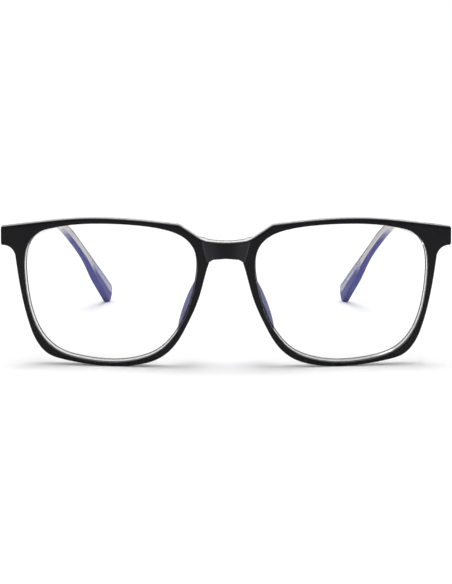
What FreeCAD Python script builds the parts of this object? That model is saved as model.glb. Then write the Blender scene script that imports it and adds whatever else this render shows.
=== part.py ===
import FreeCAD, Part
import math
import os
from FreeCAD import Placement, Rotation, Vector

# Blue light glasses. Millimetres and degrees. +Z up, the wearer looks along -Y, the wearer's
# left is +X. The origin is at the centre of the footprint on the surface that the glasses
# stand on.
# The front is drawn in its own frame: u across, z up, y backwards, with its lowest rim at z = 0.
# It is a shell between concentric spheres, and then it leans forward by front_lean.
# The temples and hinges are drawn for the left side, with y = 0 at the front, and mirrored.

doc = FreeCAD.newDocument("BlueLightGlasses")

# ---------------------------------------------------------------- driving dimensions
DIMENSIONS = [
    # front
    ("front_curve_radius", 320.0, "radius of the front surface"),
    ("curve_centre_height", 24.0, "height of the front surface's foremost point"),
    ("front_lean", 4.5, "lean of the front, top forward"),
    ("black_thickness", 1.8, "thickness of the black layer"),
    ("clear_thickness", 2.4, "thickness of the clear layer behind it"),
    ("bond_gap", 0.02, "gap left for the bond between two layers"),
    ("scoop_radius", 31.5, "radius of the scoop across the bridge"),
    ("scoop_depth", 0.64, "depth of that scoop at the bridge's middle"),
    ("scoop_tilt", 5.8, "tilt of the scoop, deeper at the top"),
    # lenses
    ("lens_thickness", 1.9, "thickness of a lens"),
    ("lens_side_gap", 0.05, "gap between a lens and the side of its rebate"),
    ("rebate_width", 0.65, "how far the lens rebate goes into the rim"),
    ("rebate_depth", 1.94, "depth of the lens rebate"),
    # nose pads
    ("pad_length", 21.0, "length of a nose pad along the rim"),
    ("pad_reach", 8.4, "how far a nose pad stands back"),
    ("pad_thickness", 1.7, "thickness of a nose pad"),
    ("pad_flare", 9.5, "angle of a nose pad to straight back"),
    ("pad_rake", 22.0, "angle of a nose pad to upright"),
    # lugs and hinges
    ("boss_plane", 9.2, "back of the boss that carries the front leaf"),
    ("butt_plane", 10.6, "where a temple meets its lug, and the hinge axis"),
    ("hinge_axis_x", 64.6, "hinge axis from the middle"),
    ("knuckle_radius", 1.15, "outer radius of a hinge knuckle"),
    ("knuckle_base", 38.6, "bottom of the lowest knuckle"),
    ("front_knuckle_height", 1.4, "height of each of the two front knuckles"),
    ("temple_knuckle_height", 1.6, "height of the temple's knuckle"),
    ("knuckle_gap", 0.05, "gap between two knuckles"),
    ("screw_radius", 0.7, "radius of the hinge screw's shank"),
    ("fixed_bore_gap", 0.02, "radial gap round the screw in the front knuckles"),
    ("turning_bore_gap", 0.05, "radial gap round the screw in the temple knuckle"),
    ("screw_head_radius", 1.05, "radius of the hinge screw's head"),
    ("screw_head_height", 0.5, "height of that head"),
    ("leaf_thickness", 0.7, "thickness of a hinge leaf"),
    ("leaf_screw_radius", 0.4, "radius of a leaf screw's shank"),
    ("leaf_screw_head", 0.55, "radius of a leaf screw's head"),
    # temples
    ("temple_inner_x", 66.0, "inner face of a temple at its front end"),
    ("temple_front_thickness", 3.2, "thickness of a temple at its front end"),
    ("temple_round", 0.4, "rounding of a temple's long edges"),
    ("temple_front_gap", 0.05, "gap between a temple and its lug when open"),
    ("core_height", 2.5, "height of the flat core wire"),
    ("core_thickness", 0.9, "thickness of the flat core wire"),
    # placing
    ("setback", 67.2, "moves the whole part so that its footprint is centred"),
    ("front_drop", 0.2, "brings the rims down to the surface"),
]

dims = doc.addObject("Spreadsheet::Sheet", "dims")
for row, (alias, value, meaning) in enumerate(DIMENSIONS, start=1):
    dims.set("A%d" % row, meaning)
    dims.set("B%d" % row, str(value))
    dims.setAlias("B%d" % row, alias)
doc.recompute()


def size(alias):
    """The value of one cell, for the few places that need it as a number."""
    return float(dims.get(alias))


# ---------------------------------------------------------------- outlines of the front (u, z)
# The left half, from the middle of the bridge's top round to the middle of its underside.
BRIDGE_TOP = (0.0, 39.5)
BRIDGE_TOP_END = (6.1, 40.0)
SADDLE = [(7.2, 40.45), (8.3, 41.05)]
BROW_CORNER = [(13.6, 44.6), (14.45, 45.0), (15.4, 45.17)]
BROW = [(15.4, 45.17), (24.6, 46.12), (35.7, 46.72), (45.0, 46.52), (56.4, 45.27), (69.2, 43.42)]
END_TOP = [(69.2, 43.42), (69.72, 43.22), (69.88, 42.8)]
END_FOOT = [(70.0, 38.4), (69.85, 37.95), (69.4, 37.72)]
END_HOLLOW = [(69.4, 37.72), (66.75, 36.8), (65.45, 34.2)]
RIM = [
    (65.45, 34.2), (64.85, 28.9), (63.7, 21.2), (61.9, 13.2), (59.3, 6.7), (56.0, 3.2), (51.1, 1.6),
    (43.2, 0.38), (35.0, 0.0), (27.3, 0.72), (21.0, 2.85), (16.4, 6.7), (12.15, 13.7), (8.4, 22.3),
    (5.6, 32.3), (5.2, 33.55),
]
BRIDGE_CORNER = [(5.2, 33.55), (5.12, 33.72), (4.98, 33.83)]
BRIDGE_FOOT_END = (4.0, 34.4)
BRIDGE_FOOT = (0.0, 34.67)
# One lens opening, as a closed curve.
OPENING = [
    (35.8, 45.18), (27.5, 44.85), (19.1, 43.7), (14.4, 42.15), (11.3, 39.9), (9.35, 36.5), (8.85, 31.8),
    (9.9, 24.8), (12.2, 17.2), (15.9, 10.55), (20.4, 5.6), (26.6, 2.6), (35.2, 1.22), (46.0, 2.1),
    (52.2, 3.9), (56.1, 6.7), (59.4, 11.6), (61.4, 17.7), (62.6, 27.2), (62.5, 33.8), (61.2, 38.4),
    (58.4, 41.6), (53.5, 43.5), (45.0, 44.85),
]
CLEAR_BRIDGE_RISE = 0.45   # the clear layer shows above the black bridge
CLEAR_END_GROWTH = 0.35    # and beyond the black end pieces


def point(uz, side=1.0):
    return Vector(side * uz[0], uz[1], 0)


def spline(points, side=1.0, closed=False):
    curve = Part.BSplineCurve()
    curve.interpolate([point(p, side) for p in points], PeriodicFlag=closed)
    return curve


def arc(points, side=1.0):
    first, middle, last = [point(p, side) for p in points]
    return Part.Arc(first, middle, last)


def line(start, end, side=1.0):
    return Part.LineSegment(point(start, side), point(end, side))


def half_outline(side, rise=0.0, growth=0.0):
    """Half of the front's outline; rise lifts the bridge's top and growth widens the end piece."""
    def out(points):
        return [(u + growth, z) for u, z in points]
    top_end = (BRIDGE_TOP_END[0] - rise, BRIDGE_TOP_END[1] + rise)
    saddle = [top_end, (SADDLE[0][0] - rise, SADDLE[0][1] + rise), SADDLE[1]]
    middle = (0.5 * BRIDGE_TOP_END[0], 0.75 * BRIDGE_TOP[1] + 0.25 * BRIDGE_TOP_END[1] + rise)
    end_top = [END_TOP[0]] + out(END_TOP[1:])
    end_foot = out(END_FOOT[:2]) + [END_FOOT[2]]
    return [
        arc([(BRIDGE_TOP[0], BRIDGE_TOP[1] + rise), middle, top_end], side),
        arc(saddle, side),
        line(saddle[-1], BROW_CORNER[0], side),
        arc(BROW_CORNER, side),
        spline(BROW, side),
        arc(end_top, side),
        line(end_top[-1], end_foot[0], side),
        arc(end_foot, side),
        arc(END_HOLLOW, side),
        spline(RIM, side),
        arc(BRIDGE_CORNER, side),
        line(BRIDGE_CORNER[-1], BRIDGE_FOOT_END, side),
        line(BRIDGE_FOOT_END, BRIDGE_FOOT, side),
    ]


# ---------------------------------------------------------------- helpers
def origin_plane(body, role):
    for feature in body.Origin.OriginFeatures:
        if feature.Role == role:
            return feature
    raise ValueError("no origin feature " + role)


def new_sketch(body, name, role, offset=0.0):
    sketch = body.newObject("Sketcher::SketchObject", name)
    sketch.AttachmentSupport = [(origin_plane(body, role), "")]
    sketch.MapMode = "FlatFace"
    sketch.AttachmentOffset = Placement(Vector(0, 0, offset), Rotation())
    return sketch


def padded_body(name, role, curves, length, offset=0.0, reverse=False, both_ways=False):
    """A body with one sketch, padded."""
    body = doc.addObject("PartDesign::Body", name)
    sketch = new_sketch(body, name + "_sketch", role, offset)
    for curve in curves:
        sketch.addGeometry(curve, False)
    doc.recompute()
    pad = body.newObject("PartDesign::Pad", name + "_pad")
    pad.Profile = sketch
    if isinstance(length, str):
        pad.setExpression("Length", length)
    else:
        pad.Length = length
    pad.Reversed = reverse
    pad.Midplane = both_ways
    doc.recompute()
    return body


def boolean(kind, name, base, tool):
    result = doc.addObject("Part::" + kind, name)
    result.Base = base
    result.Tool = tool
    return result


def fused(name, shapes):
    result = doc.addObject("Part::MultiFuse", name)
    result.Shapes = shapes
    return result


def curve_ball(name, depth):
    """The ball whose surface lies the given depth behind the front surface."""
    ball = doc.addObject("Part::Sphere", name)
    ball.setExpression("Radius", "dims.front_curve_radius - (%s)" % depth)
    ball.setExpression("Placement.Base.y", "dims.front_curve_radius")
    ball.setExpression("Placement.Base.z", "dims.curve_centre_height")
    return ball


def shell(name, solid, near, far):
    """What of a solid lies between two depths behind the front surface."""
    within = boolean("Common", name + "_near", solid, curve_ball(name + "_near_ball", near))
    return boolean("Cut", name, within, curve_ball(name + "_far_ball", far))


def cylinder(name, radius, height, x, y, z):
    rod = doc.addObject("Part::Cylinder", name)
    rod.setExpression("Radius", radius)
    rod.setExpression("Height", height)
    rod.setExpression("Placement.Base.x", x)
    rod.setExpression("Placement.Base.y", y)
    rod.setExpression("Placement.Base.z", z)
    return rod


def box(name, length, width, height, x, y, z):
    block = doc.addObject("Part::Box", name)
    block.setExpression("Length", length)
    block.setExpression("Width", width)
    block.setExpression("Height", height)
    block.setExpression("Placement.Base.x", x)
    block.setExpression("Placement.Base.y", y)
    block.setExpression("Placement.Base.z", z)
    return block


def mirrored(name, source, normal=Vector(1, 0, 0)):
    twin = doc.addObject("Part::Mirroring", name)
    twin.Source = source
    twin.Normal = normal
    return twin


nodes = {}


def finish_node(name, feature):
    """A finished sub-part: it gets its label and is exported under that name."""
    feature.Label = name
    nodes[name] = feature


def place_on_front(feature):
    """Leans a piece of the front forward and moves it to its place."""
    feature.setExpression("Placement.Base.y", "-dims.setback")
    feature.setExpression("Placement.Base.z", "-dims.front_drop")
    feature.setExpression("Placement.Rotation.Axis.x", "1")
    feature.setExpression("Placement.Rotation.Axis.y", "0")
    feature.setExpression("Placement.Rotation.Axis.z", "0")
    feature.setExpression("Placement.Rotation.Angle", "dims.front_lean")


def place_behind(feature):
    feature.setExpression("Placement.Base.y", "-dims.setback")


# ---------------------------------------------------------------- black front
BLANK_START = 5.0    # the blanks start this far in front of the front surface
BLANK_LENGTH = 30.0


def front_blank(name, rise=0.0, growth=0.0):
    curves = []
    for side in (1.0, -1.0):
        curves += half_outline(side, rise, growth)
        curves.append(spline(OPENING, side, closed=True))
    return padded_body(name, "XZ_Plane", curves, BLANK_LENGTH, offset=BLANK_START, reverse=True)


black_blank = front_blank("black_blank")
black_shell = shell("black_shell", black_blank, "0", "dims.black_thickness")

# The scoop is an upright cylinder that cuts shallowly across the bridge, deeper at the top.
SCOOP_FOOT = 17.2
SCOOP_HEIGHT = 40.0
SCOOP_MIDDLE_HEIGHT = 37.2
scoop = doc.addObject("Part::Cylinder", "bridge_scoop")
scoop.setExpression("Radius", "dims.scoop_radius")
scoop.Height = SCOOP_HEIGHT
scoop.setExpression("Placement.Rotation.Axis.x", "1")
scoop.setExpression("Placement.Rotation.Axis.z", "0")
scoop.setExpression("Placement.Rotation.Angle", "-dims.scoop_tilt")
scoop_sag = (SCOOP_MIDDLE_HEIGHT - size("curve_centre_height")) ** 2 / (2 * size("front_curve_radius"))
scoop.setExpression("Placement.Base.y", "dims.scoop_depth - dims.scoop_radius + %.4f"
                    " - %.4f * tan(dims.scoop_tilt)" % (scoop_sag, SCOOP_MIDDLE_HEIGHT - SCOOP_FOOT))
scoop.Placement.Base.z = SCOOP_FOOT
black_front = boolean("Cut", "black_front", black_shell, scoop)
finish_node("front_frame", black_front)
place_on_front(black_front)

# ---------------------------------------------------------------- clear rear layer with its lugs
clear_blank = front_blank("clear_blank", CLEAR_BRIDGE_RISE, CLEAR_END_GROWTH)
CLEAR_NEAR = "dims.black_thickness + dims.bond_gap"
CLEAR_FAR = "dims.black_thickness + dims.clear_thickness"
clear_shell = shell("clear_shell", clear_blank, CLEAR_NEAR, CLEAR_FAR)

LUG_OUTER_X = 69.7
LUG_BOTTOM = 37.6
LUG_TOP = 44.4
LUG_START = 5.6      # inside the clear layer
BOSS_INNER_X = 61.2
lug_parts = []
for name, inner, back in (("boss", "%g" % BOSS_INNER_X, "dims.boss_plane"),
                          ("butt", "dims.temple_inner_x", "dims.butt_plane")):
    block = box(name + "_block", "%g - %s" % (LUG_OUTER_X, inner), "%s - %g" % (back, LUG_START),
                "%g" % (LUG_TOP - LUG_BOTTOM), inner, "%g" % LUG_START, "%g" % LUG_BOTTOM)
    lug_parts.append(block)
lug_upright = fused("lug_upright", lug_parts)
# The lugs are square to the temples, so in the leaning front's own frame they tilt back.
lug_tilted = doc.addObject("Part::Compound", "lug_tilted")
lug_tilted.Links = [lug_upright]
lug_tilted.setExpression("Placement.Rotation.Axis.x", "1")
lug_tilted.setExpression("Placement.Rotation.Axis.z", "0")
lug_tilted.setExpression("Placement.Rotation.Angle", "-dims.front_lean")
lug_pair = fused("lug_pair", [lug_tilted, mirrored("lug_twin", lug_tilted)])
lugs_whole = boolean("Common", "lugs_whole", lug_pair, clear_blank)
lugs = boolean("Common", "lugs", lugs_whole, curve_ball("lugs_ball", "dims.black_thickness + 1"))
clear_solid = fused("clear_solid", [clear_shell, lugs])


def grown(points, amount):
    """A closed outline offset outwards; its points go round with the inside on their left."""
    moved = []
    for index, (u, z) in enumerate(points):
        before = points[index - 1]
        after = points[(index + 1) % len(points)]
        length = math.hypot(after[0] - before[0], after[1] - before[1])
        moved.append((u + amount * (after[1] - before[1]) / length,
                      z - amount * (after[0] - before[0]) / length))
    return moved


def opening_prism(name, side, grow):
    """The lens opening of one side, offset outwards by grow, as a long prism along y."""
    curve = spline(grown(OPENING, grow), side, closed=True)
    return padded_body(name, "XZ_Plane", [curve], BLANK_LENGTH, offset=BLANK_START, reverse=True)


rebates = []
for side, side_name in ((1.0, "left"), (-1.0, "right")):
    wide = opening_prism("rebate_" + side_name, side, size("rebate_width"))
    rebates.append(shell("rebate_shell_" + side_name, wide, "dims.black_thickness",
                         "dims.black_thickness + dims.bond_gap + dims.rebate_depth"))
clear_rebated = boolean("Cut", "clear_rebated", clear_solid, fused("rebate_pair", rebates))

# ---------------------------------------------------------------- lenses
# Each lens lies in its rebate in the clear layer, behind the lip that the black layer makes.
for side, side_name in ((1.0, "left"), (-1.0, "right")):
    blank = opening_prism("lens_blank_" + side_name, side, size("rebate_width") - size("lens_side_gap"))
    lens = shell("lens_" + side_name, blank, "dims.black_thickness + dims.bond_gap",
                 "dims.black_thickness + dims.bond_gap + dims.lens_thickness")
    finish_node("lens_" + side_name, lens)
    place_on_front(lens)

# ---------------------------------------------------------------- nose pads
# A pad is half an oval plate: its flat side follows the nasal rim and its round side stands back.
PAD_MIDDLE = Vector(10.6, 3.2, 19.7)   # the middle of its flat side, in the front's frame
half_long = size("pad_length") / 2
reach = size("pad_reach")
pad_curves = [
    Part.LineSegment(Vector(-half_long, 0, 0), Vector(half_long, 0, 0)),
    Part.ArcOfEllipse(Part.Ellipse(Vector(0, 0, 0), half_long, reach), 0, math.pi),
]
pad_blank = padded_body("pad_blank", "XY_Plane", pad_curves, "dims.pad_thickness", both_ways=True)
pad_plate = pad_blank.Tip
round_edges = []
for number, edge in enumerate(pad_plate.Shape.Edges, start=1):
    if edge.Curve.TypeId == "Part::GeomEllipse":
        round_edges.append("Edge%d" % number)
pad_rounded = pad_blank.newObject("PartDesign::Fillet", "pad_fillet")
pad_rounded.Base = (pad_plate, round_edges)
pad_rounded.Radius = 0.7
doc.recompute()
# The plate turns so that x runs down the rim, y stands back and outwards, and z is its thickness.
down_rim = Vector(math.sin(math.radians(size("pad_rake"))), 0, -math.cos(math.radians(size("pad_rake"))))
across = Vector(-down_rim.z, 0, down_rim.x)
flare = math.radians(size("pad_flare"))
stand_back = Vector(0, math.cos(flare), 0) + across * math.sin(flare)
pad_blank.Placement = Placement(
    PAD_MIDDLE, Rotation(down_rim, stand_back, down_rim.cross(stand_back), "XYZ"))
pad_seated = boolean("Common", "pad_seated", pad_blank,
                     curve_ball("pad_ball", CLEAR_FAR + " + dims.bond_gap"))
pad_left = doc.addObject("Part::Compound", "pad_left")
pad_left.Links = [pad_seated]
pad_right = mirrored("pad_right", pad_seated)
for pad, name in ((pad_left, "nose_pad_left"), (pad_right, "nose_pad_right")):
    finish_node(name, pad)
    place_on_front(pad)

# ---------------------------------------------------------------- temples
# Side view (y, z): a straight arm, a bend down behind the ear, and a paddle at the tip.
ARM_BACK = 66.0
ARM_BOTTOM = [(size("butt_plane") + size("temple_front_gap"), 37.9), (ARM_BACK, 37.15)]
ARM_TOP = [(size("butt_plane") + size("temple_front_gap"), 43.0), (ARM_BACK, 40.85)]
BEND_BOTTOM = [(ARM_BACK, 37.15), (74.5, 36.95), (84.8, 35.35), (96.6, 29.1)]
BEND_TOP = [(ARM_BACK, 40.85), (75.0, 40.3), (86.4, 38.5), (97.6, 32.95)]
PADDLE_BOTTOM = [(96.6, 29.1), (107.8, 21.5), (113.2, 16.9), (118.3, 11.9), (125.4, 6.1), (132.0, 0.7)]
PADDLE_TOP = [(97.6, 32.95), (134.3, 8.2)]
TIP_BACK = [(134.3, 8.2), (136.85, 4.6), (135.1, 1.35)]
TIP_FOOT = [(135.1, 1.35), (133.4, 0.0), (132.0, 0.7)]
# Plan view: centre (x, y) and thickness along the temple.
PLAN = [
    (64.28, 66.0, 2.1), (63.65, 76.0, 2.1), (62.75, 86.0, 2.1), (60.6, 95.0, 2.1), (58.0, 105.0, 2.15),
    (54.7, 118.0, 2.5), (52.1, 128.0, 2.65), (49.2, 139.5, 2.4),
]


def plan_side(stations, side):
    """One side of a strip whose centre and thickness the stations give."""
    points = []
    for index, (x, y, thickness) in enumerate(stations):
        before = stations[max(index - 1, 0)]
        after = stations[min(index + 1, len(stations) - 1)]
        length = math.hypot(after[0] - before[0], after[1] - before[1])
        normal_x = (after[1] - before[1]) / length
        normal_y = -(after[0] - before[0]) / length
        shift = side * thickness / 2
        points.append((x + shift * normal_x, y + shift * normal_y))
    return points


temple_side = padded_body(
    "temple_side", "YZ_Plane",
    [line(*ARM_BOTTOM), spline(BEND_BOTTOM), spline(PADDLE_BOTTOM), arc(TIP_FOOT[::-1]),
     arc(TIP_BACK), line(*PADDLE_TOP), spline(BEND_TOP),
     line(*ARM_TOP), line(ARM_TOP[0], ARM_BOTTOM[0])], 90.0)
outer_side = plan_side(PLAN, 1.0)
inner_side = plan_side(PLAN, -1.0)
front_y = ARM_BOTTOM[0][0]
inner_front = (size("temple_inner_x"), front_y)
outer_front = (size("temple_inner_x") + size("temple_front_thickness"), front_y)
temple_plan = padded_body(
    "temple_plan", "XY_Plane",
    [line(outer_front, outer_side[0]), spline(outer_side), line(outer_side[-1], inner_side[-1]),
     spline(inner_side), line(inner_side[0], inner_front), line(inner_front, outer_front)],
    60.0, offset=-5.0)
temple_blank = boolean("Common", "temple_blank", temple_side, temple_plan)

# The core wire: a flat strip along the middle of the temple, with a pointed end.
CORE_START = 19.5
CORE_SIDE = [
    (CORE_START, 40.2), (42.0, 39.6), (ARM_BACK, 39.1), (75.0, 38.75), (85.6, 37.0), (97.2, 31.2),
    (107.0, 24.6), (115.0, 18.9),
]
CORE_POINT = (119.0, 16.1)
CORE_PLAN = [(67.6 - 3.32 * (CORE_START - front_y) / (ARM_BACK - front_y), CORE_START),
             (65.75, 42.0)] + [(x, y) for x, y, thickness in PLAN[:7]]
core_height = size("core_height")
core_thickness = size("core_thickness")
core_top = plan_side([(y, z, core_height) for y, z in CORE_SIDE], -1.0)
core_bottom = plan_side([(y, z, core_height) for y, z in CORE_SIDE], 1.0)
core_side_body = padded_body(
    "core_side", "YZ_Plane",
    [spline(core_bottom), line(core_bottom[-1], CORE_POINT), line(CORE_POINT, core_top[-1]),
     spline(core_top), line(core_top[0], core_bottom[0])], 90.0)
core_outer = plan_side([(x, y, core_thickness) for x, y in CORE_PLAN], 1.0)
core_inner = plan_side([(x, y, core_thickness) for x, y in CORE_PLAN], -1.0)
core_plan_body = padded_body(
    "core_plan", "XY_Plane",
    [spline(core_outer), line(core_outer[-1], core_inner[-1]), spline(core_inner),
     line(core_inner[0], core_outer[0])], 60.0, offset=-5.0)
core_wire = boolean("Common", "core_wire", core_side_body, core_plan_body)
doc.recompute()

# ---------------------------------------------------------------- hinges
AXIS_X = "dims.hinge_axis_x"
AXIS_Y = "dims.butt_plane"
LOWER_Z = "dims.knuckle_base"
MIDDLE_Z = "dims.knuckle_base + dims.front_knuckle_height + dims.knuckle_gap"
UPPER_Z = "dims.knuckle_base + dims.front_knuckle_height + dims.temple_knuckle_height + 2 * dims.knuckle_gap"
TOP_Z = ("dims.knuckle_base + 2 * dims.front_knuckle_height + dims.temple_knuckle_height"
         " + 2 * dims.knuckle_gap")
BARREL_HEIGHT = "(%s - dims.knuckle_base)" % TOP_Z

# Front leaf: a plate on the boss, with the lower and the upper knuckle.
FRONT_LEAF_INNER_X = 61.4
FRONT_LEAF_BOTTOM = 39.2
FRONT_LEAF_TOP = 42.6
front_plate = box("front_plate", "%s + 0.6 - %g" % (AXIS_X, FRONT_LEAF_INNER_X), "dims.leaf_thickness",
                  "%g" % (FRONT_LEAF_TOP - FRONT_LEAF_BOTTOM), "%g" % FRONT_LEAF_INNER_X,
                  "dims.boss_plane + dims.bond_gap", "%g" % FRONT_LEAF_BOTTOM)
lower_knuckle = cylinder("lower_knuckle", "dims.knuckle_radius", "dims.front_knuckle_height",
                         AXIS_X, AXIS_Y, LOWER_Z)
upper_knuckle = cylinder("upper_knuckle", "dims.knuckle_radius", "dims.front_knuckle_height",
                         AXIS_X, AXIS_Y, UPPER_Z)
front_leaf_solid = fused("front_leaf_solid", [front_plate, lower_knuckle, upper_knuckle])
knuckle_slot = cylinder("knuckle_slot", "dims.knuckle_radius + 0.1",
                        "dims.temple_knuckle_height + 2 * dims.knuckle_gap", AXIS_X, AXIS_Y,
                        "dims.knuckle_base + dims.front_knuckle_height")
front_bore = cylinder("front_bore", "dims.screw_radius + dims.fixed_bore_gap", BARREL_HEIGHT + " + 2",
                      AXIS_X, AXIS_Y, LOWER_Z + " - 1")


def leaf_screw(name, height):
    """A small screw along z with its head's underside at z = 0, shank below and head above."""
    shank = doc.addObject("Part::Cylinder", name + "_shank")
    shank.setExpression("Radius", "dims.leaf_screw_radius")
    shank.setExpression("Height", height)
    shank.setExpression("Placement.Base.z", "-(%s)" % height)
    head = doc.addObject("Part::Cylinder", name + "_head")
    head.setExpression("Radius", "dims.leaf_screw_head")
    head.Height = 0.3
    slot = doc.addObject("Part::Box", name + "_slot")
    slot.Length = 2
    slot.Width = 0.16
    slot.Height = 1
    slot.Placement.Base = Vector(-1, -0.08, 0.15)
    return boolean("Cut", name, fused(name + "_solid", [shank, head]), slot)


def copies(name, source, placements):
    """Several placed copies of one solid, as one group."""
    links = []
    for number, placement in enumerate(placements, start=1):
        one = doc.addObject("Part::Compound", "%s_%d" % (name, number))
        one.Links = [source]
        one.Placement = placement
        links.append(one)
    group = doc.addObject("Part::Compound", name)
    group.Links = links
    return group


# The front leaf's screws point forwards into the boss.
FRONT_SCREW_X = 62.3
FRONT_SCREW_HEIGHTS = (40.0, 41.8)
front_screw = leaf_screw("front_leaf_screw", "dims.leaf_thickness + 2.2")
front_face_y = size("boss_plane") + size("bond_gap") + size("leaf_thickness")
facing_back = Rotation(Vector(1, 0, 0), -90)
front_screws = copies("front_screws", front_screw, [
    Placement(Vector(FRONT_SCREW_X, front_face_y, height), facing_back)
    for height in FRONT_SCREW_HEIGHTS])
front_leaf_cut = boolean("Cut", "front_leaf_cut", front_leaf_solid,
                         fused("front_leaf_tools", [knuckle_slot, front_bore]))
front_leaf = boolean("Cut", "front_leaf", front_leaf_cut, front_screws)

# Temple leaf: a plate on the temple's inner face, with the middle knuckle.
inner_toe = math.degrees(math.atan2(inner_front[0] - inner_side[0][0], inner_side[0][1] - front_y))
LEAF_REACH = (1.5, 8.4)      # from the hinge axis to the plate's two ends
TEMPLE_LEAF_BOTTOM = 39.0
TEMPLE_LEAF_TOP = 42.3
plate_turn = Rotation(Vector(0, 0, 1), inner_toe)
plate_thickness = size("leaf_thickness")
temple_plate = doc.addObject("Part::Box", "temple_plate")
temple_plate.setExpression("Length", "dims.leaf_thickness")
temple_plate.Width = LEAF_REACH[1] - LEAF_REACH[0]
temple_plate.Height = TEMPLE_LEAF_TOP - TEMPLE_LEAF_BOTTOM
plate_corner = Vector(inner_front[0], front_y, TEMPLE_LEAF_BOTTOM) + plate_turn.multVec(
    Vector(-plate_thickness - size("bond_gap"), LEAF_REACH[0], 0))
temple_plate.Placement = Placement(plate_corner, plate_turn)
neck = box("temple_neck", "dims.leaf_thickness", "%g + 0.4" % LEAF_REACH[0], "dims.temple_knuckle_height",
           "dims.temple_inner_x - dims.leaf_thickness - 0.15", AXIS_Y, MIDDLE_Z)
middle_knuckle = cylinder("middle_knuckle", "dims.knuckle_radius", "dims.temple_knuckle_height",
                          AXIS_X, AXIS_Y, MIDDLE_Z)
temple_leaf_solid = fused("temple_leaf_solid", [temple_plate, neck, middle_knuckle])
temple_bore = cylinder("temple_bore", "dims.screw_radius + dims.turning_bore_gap", BARREL_HEIGHT + " + 2",
                       AXIS_X, AXIS_Y, LOWER_Z + " - 1")
temple_screw = leaf_screw("temple_leaf_screw", "dims.leaf_thickness + 1.7")
TEMPLE_SCREW_REACH = (3.4, 6.4)
TEMPLE_SCREW_HEIGHT = 40.65
facing_in = plate_turn.multiply(Rotation(Vector(0, 1, 0), -90))
temple_screws = copies("temple_screws", temple_screw, [
    Placement(Vector(inner_front[0], front_y, TEMPLE_SCREW_HEIGHT) + plate_turn.multVec(
        Vector(-plate_thickness - size("bond_gap"), reach_back, 0)), facing_in)
    for reach_back in TEMPLE_SCREW_REACH])
temple_leaf_bored = boolean("Cut", "temple_leaf_bored", temple_leaf_solid, temple_bore)
temple_leaf = boolean("Cut", "temple_leaf", temple_leaf_bored, temple_screws)

# Hinge screw: a shank through all three knuckles and a slotted head on top.
shank = cylinder("hinge_shank", "dims.screw_radius", BARREL_HEIGHT, AXIS_X, AXIS_Y, LOWER_Z)
head = cylinder("hinge_head", "dims.screw_head_radius", "dims.screw_head_height", AXIS_X, AXIS_Y, TOP_Z)
head_slot = box("hinge_head_slot", "4", "0.3", "2", AXIS_X + " - 2", AXIS_Y + " - 0.15", TOP_Z + " + 0.25")
hinge_screw = boolean("Cut", "hinge_screw", fused("hinge_screw_solid", [shank, head]), head_slot)

# The temple is cut away where its core wire and its screws sit, and the lugs where theirs do.
doc.recompute()
long_edges = []
for number, edge in enumerate(temple_blank.Shape.Edges, start=1):
    if edge.BoundBox.YLength > 2:
        long_edges.append((number, size("temple_round"), size("temple_round")))
temple_rounded = doc.addObject("Part::Fillet", "temple_rounded")
temple_rounded.Base = temple_blank
temple_rounded.Edges = long_edges
temple_inside = fused("temple_inside", [core_wire, temple_screws])
temple_solid = boolean("Cut", "temple_solid", temple_rounded, temple_inside)

sides = {
    "temple": temple_solid,
    "temple_core": core_wire,
    "front_hinge": front_leaf,
    "temple_hinge": temple_leaf,
    "hinge_screw": hinge_screw,
    "front_leaf_screws": front_screws,
    "temple_leaf_screws": temple_screws,
}
for name, feature in sides.items():
    left = doc.addObject("Part::Compound", name + "_left_side")
    left.Links = [feature]
    right = mirrored(name + "_right_side", feature)
    for piece, side_name in ((left, "left"), (right, "right")):
        place_behind(piece)
        finish_node("%s_%s" % (name, side_name), piece)

# The front leaf's screw holes in the clear layer, in the leaning front's own frame.
screw_holes = doc.addObject("Part::Compound", "screw_holes")
screw_holes.Links = [front_screws, mirrored("front_screws_twin", front_screws)]
screw_holes.setExpression("Placement.Base.z", "dims.front_drop * cos(dims.front_lean)")
screw_holes.setExpression("Placement.Rotation.Axis.x", "1")
screw_holes.setExpression("Placement.Rotation.Axis.z", "0")
screw_holes.setExpression("Placement.Rotation.Angle", "-dims.front_lean")
clear_drilled = boolean("Cut", "clear_drilled", clear_rebated, screw_holes)
finish_node("rear_frame", clear_drilled)
place_on_front(clear_drilled)

doc.recompute()

# ---------------------------------------------------------------- check and export
problems = []
for feature in doc.Objects:
    if "Invalid" in feature.State or "Error" in feature.State:
        problems.append("%s: %s" % (feature.Name, feature.State))
for name, feature in nodes.items():
    if feature.Shape.isNull() or not feature.Shape.isValid() or not feature.Shape.Solids:
        problems.append(name + " has no valid solid")
if problems:
    raise RuntimeError("; ".join(problems))

os.makedirs("parts", exist_ok=True)
whole = FreeCAD.BoundBox()
for name, feature in sorted(nodes.items()):
    feature.Shape.exportStep("parts/%s.step" % name)
    whole.add(feature.Shape.optimalBoundingBox(True, False))
    print("%-26s %9.2f mm3  %d solid(s)" % (name, feature.Shape.Volume, len(feature.Shape.Solids)))
print("size %.2f x %.2f x %.2f, lowest %.2f, y %.2f to %.2f" % (
    whole.XLength, whole.YLength, whole.ZLength, whole.ZMin, whole.YMin, whole.YMax))
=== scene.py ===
"""Blue light glasses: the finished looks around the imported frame.

Outlines and the helpers that use them are in millimetres; meshes are stored in metres.
"""

import math

import bpy
import numpy as np
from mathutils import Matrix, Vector
from mathutils.geometry import delaunay_2d_cdt


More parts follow.
